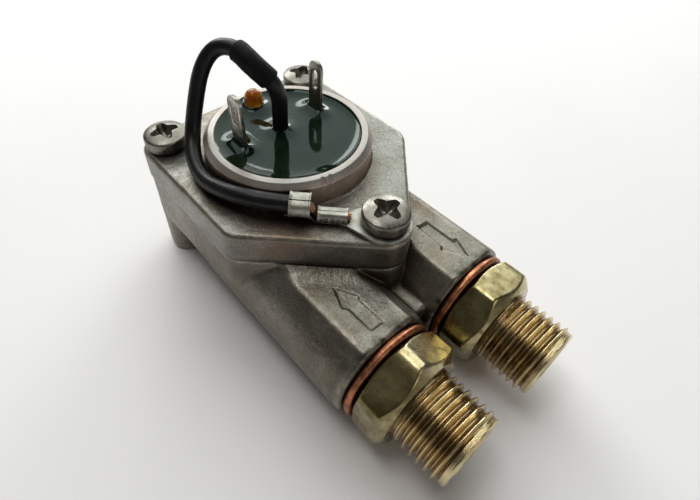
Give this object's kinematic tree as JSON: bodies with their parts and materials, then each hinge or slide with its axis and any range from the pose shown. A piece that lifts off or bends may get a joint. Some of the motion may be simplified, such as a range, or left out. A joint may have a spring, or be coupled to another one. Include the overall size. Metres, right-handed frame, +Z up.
{
  "type": "flow meter",
  "caption": "Turbine flow meter of a coffee machine: plated brass casting with two parallel hose fittings, potted sensor cup with solder tags and lamp, and an earth wire.",
  "frame": {"origin": "on the turbine axis, in the plane the meter stands on", "axes": "+Z up along the turbine axis, the hose fittings point along -Y, the inlet is on the -X side"},
  "size_m": [0.041, 0.0739, 0.0455],
  "materials": {
    "plated_casting": "nickel plated brass casting, grainy satin",
    "plated_cover": "nickel plated brass casting with a turned ring",
    "seal_rubber": "matt",
    "jewel": "polished",
    "brass": "turned",
    "copper": "annealed copper",
    "screw_steel": "plated",
    "board": "glass fibre board",
    "sensor_black": "moulded",
    "resistor": "lacquered",
    "tinned": "tinned brass",
    "amber_lamp": "clear amber epoxy",
    "resin": "dark glossy potting resin",
    "wire_insulation": "satin black",
    "sleeve": "matt black shrink sleeve",
    "strands": "bare copper",
    "wheel_plastic": "moulded",
    "magnet": "sintered"
  },
  "bodies": {
    "housing": {"meter_body": "plated_casting", "sensor_cover": "plated_cover", "chamber_seal": "seal_rubber", "lower_jewel": "jewel", "upper_jewel": "jewel", "inlet_jet": "brass", "inlet_fitting": "brass", "outlet_fitting": "brass", "inlet_washer": "copper", "outlet_washer": "copper", "cover_screws": "screw_steel", "lock_washers": "screw_steel", "circuit_board": "board", "hall_sensor": "sensor_black", "led_resistor": "resistor", "left_terminal": "tinned", "right_terminal": "tinned", "indicator_led": "amber_lamp", "led_leads": "tinned", "potting_resin": "resin", "earth_wire": "wire_insulation", "wire_sleeve": "sleeve", "ring_terminal": "tinned", "wire_strands": "strands"},
    "turbine": {"impeller_wheel": "wheel_plastic", "impeller_magnets": "magnet", "impeller_spindle": "screw_steel"}
  },
  "joints": [
    {"name": "turbine_spin", "type": "hinge", "parent": "housing", "child": "turbine", "pos_m": [0, 0, 0], "axis": [0, 0, 1], "continuous": true}
  ]
}
